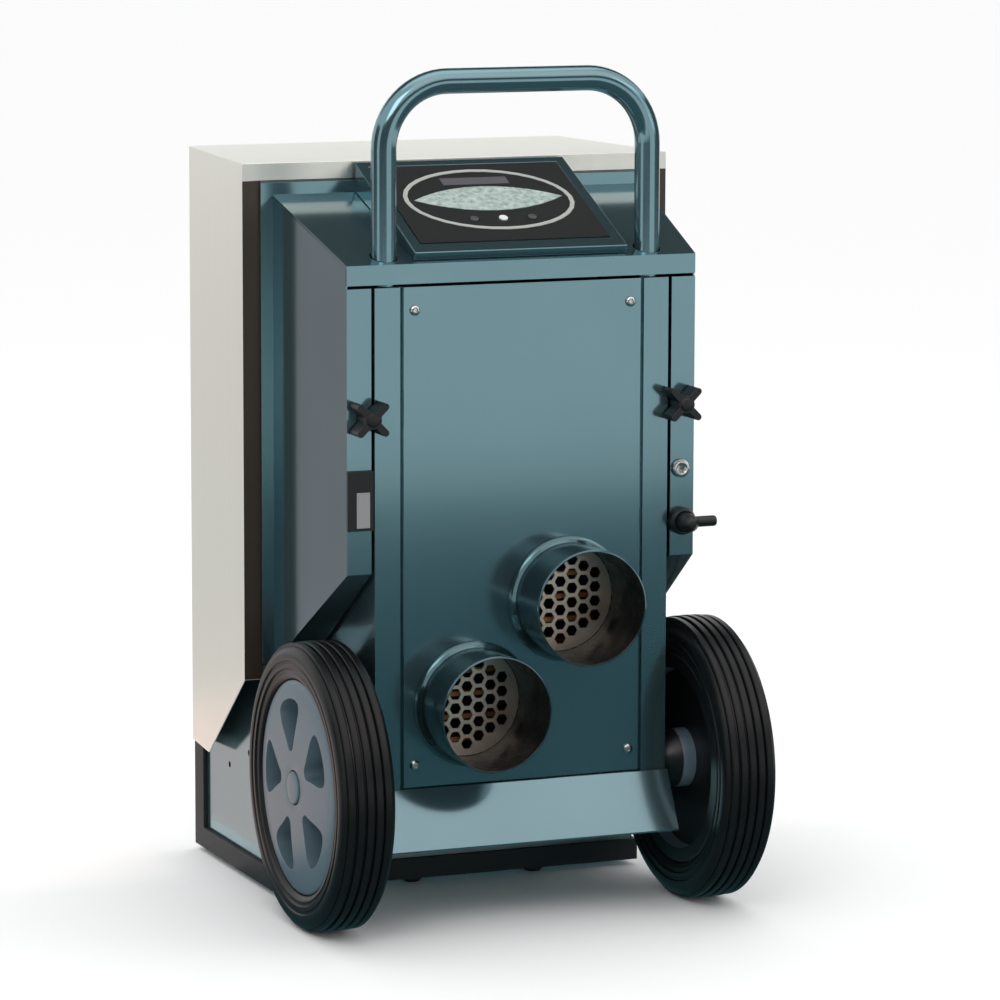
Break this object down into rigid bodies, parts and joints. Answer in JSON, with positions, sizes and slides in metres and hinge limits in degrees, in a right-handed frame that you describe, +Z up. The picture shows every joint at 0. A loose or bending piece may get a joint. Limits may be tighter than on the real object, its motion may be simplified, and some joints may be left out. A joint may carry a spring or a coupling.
{
  "type": "portable dehumidifier",
  "caption": "Upright wheeled dehumidifier with duct outlets, telescopic hoop handle, sloped control panel and slide-out water tank.",
  "frame": {"origin": "centre of the bounding box at floor level", "axes": "+Z up; the duct outlets, door and wheels face -Y; the stainless inlet side faces +Y; +X is to the right when looking at the door"},
  "size_m": [0.405, 0.4618, 0.7375],
  "materials": {
    "paint": "petrol blue-grey gloss powder coat",
    "stainless": "brushed stainless sheet",
    "steel": "bright plated steel",
    "galvanised": "galvanised sheet and aluminium fins",
    "black": "black moulded plastic",
    "hub": "blue-grey moulded plastic, satin",
    "tyre": "black solid rubber",
    "rubber": "black rubber moulding",
    "aqua": "pale aqua display window",
    "label": "mid grey plastic",
    "copper": "copper-coloured heating tube",
    "filter": "white filter pad in a frame",
    "tank": "light grey moulded tank",
    "board": "green circuit board",
    "black_metal": "black painted metal"
  },
  "bodies": {
    "chassis": {"column_frame": "paint", "side_panel_left": "paint", "side_panel_right": "paint", "top_panel": "paint", "door_panel": "paint", "door_screw_1": "steel", "door_screw_2": "steel", "door_screw_3": "steel", "door_screw_4": "steel", "skirt": "paint", "bulkhead": "galvanised", "duct_collar_upper": "paint", "duct_collar_lower": "paint", "guard_grid_upper": "steel", "guard_grid_lower": "steel", "heater_element": "copper", "handle_clamp_left": "black", "handle_clamp_right": "black", "hour_meter": "black", "hour_meter_window": "label", "sensor_socket": "steel", "outlet_nut": "black", "control_box": "paint", "control_bezel": "black", "display_ring": "steel", "display_window": "aqua", "label_bar": "label", "control_board": "board", "shell": "stainless", "inlet_grille": "black", "air_filter": "filter", "evaporator": "galvanised", "condenser": "galvanised", "drip_tray": "galvanised", "compressor_deck": "galvanised", "compressor": "black_metal", "base_pan": "paint", "bumper_strip": "rubber", "foot_near_left": "rubber", "foot_near_right": "rubber", "foot_far_left": "rubber", "foot_far_right": "rubber", "axle": "steel", "fan_housing": "galvanised", "fan_motor": "galvanised"},
    "handle": {"handle": "paint"},
    "star_knob_left": {"star_knob_left": "black"},
    "star_knob_right": {"star_knob_right": "black"},
    "wheel_left": {"wheel_tyre_left": "tyre", "wheel_hub_left": "hub", "hub_cap_left": "hub"},
    "wheel_right": {"wheel_tyre_right": "tyre", "wheel_hub_right": "hub", "hub_cap_right": "hub"},
    "button_left": {"button_left": "label"},
    "button_centre": {"button_centre": "label"},
    "button_right": {"button_right": "label"},
    "outlet_elbow": {"outlet_elbow": "black"},
    "water_tank": {"water_tank": "tank"},
    "fan_impeller": {"fan_impeller": "black"}
  },
  "joints": [
    {"name": "wheel_left_spin", "type": "hinge", "parent": "chassis", "child": "wheel_left", "pos_m": [-0.1759, -0.10595, 0.125], "axis": [1, 0, 0], "continuous": true},
    {"name": "wheel_right_spin", "type": "hinge", "parent": "chassis", "child": "wheel_right", "pos_m": [0.1759, -0.10595, 0.125], "axis": [1, 0, 0], "continuous": true},
    {"name": "handle_height", "type": "slide", "parent": "chassis", "child": "handle", "axis": [0, 0, 1], "range_m": [-0.08, 0.1]},
    {"name": "star_knob_left_turn", "type": "hinge", "parent": "chassis", "child": "star_knob_left", "pos_m": [-0.1445, -0.13155, 0.445], "axis": [0, -1, 0], "range_deg": [0, 360]},
    {"name": "star_knob_right_turn", "type": "hinge", "parent": "chassis", "child": "star_knob_right", "pos_m": [0.1445, -0.13155, 0.445], "axis": [0, -1, 0], "range_deg": [0, 360]},
    {"name": "outlet_elbow_swivel", "type": "hinge", "parent": "chassis", "child": "outlet_elbow", "pos_m": [0.1485, -0.13155, 0.341], "axis": [0, 1, 0], "range_deg": [-90, 90]},
    {"name": "water_tank_slide", "type": "slide", "parent": "chassis", "child": "water_tank", "axis": [0, 1, 0], "range_m": [0, 0.14]},
    {"name": "fan_spin", "type": "hinge", "parent": "chassis", "child": "fan_impeller", "pos_m": [0, -0.01955, 0.43], "axis": [0, 1, 0], "continuous": true},
    {"name": "button_left_press", "type": "slide", "parent": "chassis", "child": "button_left", "axis": [0, 0.4106, -0.9118], "range_m": [0, 0.001], "stiffness_N_per_m": 400},
    {"name": "button_centre_press", "type": "slide", "parent": "chassis", "child": "button_centre", "axis": [0, 0.4106, -0.9118], "range_m": [0, 0.001], "stiffness_N_per_m": 400},
    {"name": "button_right_press", "type": "slide", "parent": "chassis", "child": "button_right", "axis": [0, 0.4106, -0.9118], "range_m": [0, 0.001], "stiffness_N_per_m": 400}
  ]
}
